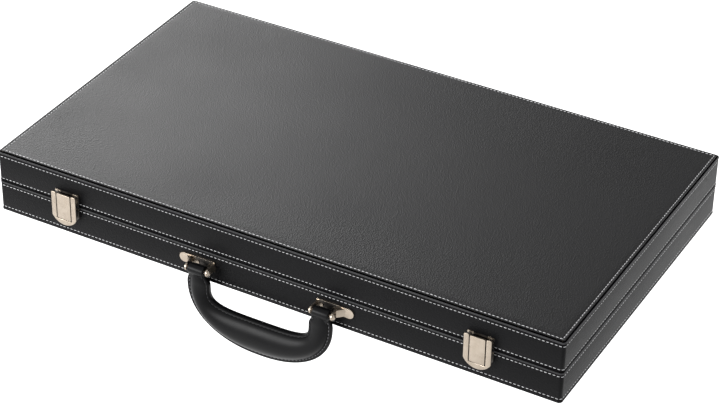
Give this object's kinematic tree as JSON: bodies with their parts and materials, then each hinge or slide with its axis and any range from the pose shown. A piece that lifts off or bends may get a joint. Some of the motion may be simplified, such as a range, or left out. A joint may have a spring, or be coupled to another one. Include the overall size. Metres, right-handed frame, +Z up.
{
  "type": "backgammon case",
  "caption": "Black leatherette backgammon case with white stitching, nickel snap latches and a padded carrying handle; it opens flat into the playing board",
  "frame": {"origin": "middle of the flat underside, on the surface that the shut case lies on", "axes": "+X runs right along the front side (the longest way), +Y to the hinged back, +Z up through the lid"},
  "size_m": [0.46, 0.2877, 0.0925],
  "materials": {
    "leatherette": "fine-grained black leatherette, satin",
    "wood": "plain light plywood",
    "field": "dark green felt",
    "points_light": "cream leatherette",
    "points_dark": "dark red leatherette",
    "felt": "black felt",
    "divider": "black leatherette over a strip",
    "nickel": "polished nickel plate",
    "spring_steel": "bare spring wire",
    "handle_leather": "smooth black padded leather",
    "core": "moulded core",
    "checkers_light": "ivory-coloured, polished",
    "checkers_dark": "dark red, polished",
    "dice": "ivory-coloured, polished",
    "cube": "white, polished",
    "cup": "black leatherette, dull"
  },
  "bodies": {
    "base": {"base_pad": "leatherette", "base_board": "wood", "base_rail_front": "wood", "base_rail_back": "wood", "base_rail_left": "wood", "base_rail_right": "wood", "base_side_cover": "leatherette", "base_field": "field", "base_points_light": "points_light", "base_points_dark": "points_dark", "base_trough_lining": "felt", "base_divider": "divider", "hinge_base_leaf_left": "nickel", "hinge_base_leaf_right": "nickel", "hinge_pins": "nickel", "hinge_base_screws": "nickel", "latch_plate_left": "nickel", "latch_plate_right": "nickel", "latch_cover_left": "nickel", "latch_cover_right": "nickel", "latch_pins": "nickel", "latch_springs": "spring_steel", "latch_plate_rivets": "nickel", "handle_bracket_left": "nickel", "handle_bracket_right": "nickel", "handle_bracket_rivets": "nickel", "handle_pins": "nickel", "checkers_light": "checkers_light", "checkers_dark": "checkers_dark", "dice": "dice", "doubling_cube": "cube", "dice_cup_left": "cup", "dice_cup_right": "cup"},
    "lid": {"lid_pad": "leatherette", "lid_board": "wood", "lid_rail_front": "wood", "lid_rail_back": "wood", "lid_rail_left": "wood", "lid_rail_right": "wood", "lid_side_cover": "leatherette", "lid_field": "field", "lid_points_light": "points_light", "lid_points_dark": "points_dark", "lid_trough_lining": "felt", "lid_divider": "divider", "hinge_lid_leaf_left": "nickel", "hinge_lid_leaf_right": "nickel", "hinge_lid_screws": "nickel", "latch_strike_left": "nickel", "latch_strike_right": "nickel", "latch_strike_rivets": "nickel"},
    "handle": {"handle_loop_left": "handle_leather", "handle_loop_right": "handle_leather", "handle_core": "core", "handle_grip": "handle_leather"},
    "left_latch": {"latch_tongue_left": "nickel"},
    "right_latch": {"latch_tongue_right": "nickel"}
  },
  "joints": [
    {"name": "lid_hinge", "type": "hinge", "parent": "base", "child": "lid", "pos_m": [0, 0.13545, 0.026], "axis": [-1, 0, 0], "range_deg": [0, 180]},
    {"name": "handle_swing", "type": "hinge", "parent": "base", "child": "handle", "pos_m": [0, -0.1421, 0.0155], "axis": [-1, 0, 0], "range_deg": [-5, 175]},
    {"name": "left_latch_press", "type": "hinge", "parent": "base", "child": "left_latch", "pos_m": [-0.1686, -0.1352, 0.0225], "axis": [1, 0, 0], "range_deg": [0, 14], "stiffness_Nm_per_rad": 0.01, "springref_deg": -11.46},
    {"name": "right_latch_press", "type": "hinge", "parent": "base", "child": "right_latch", "pos_m": [0.1686, -0.1352, 0.0225], "axis": [1, 0, 0], "range_deg": [0, 14], "stiffness_Nm_per_rad": 0.01, "springref_deg": -11.46}
  ]
}
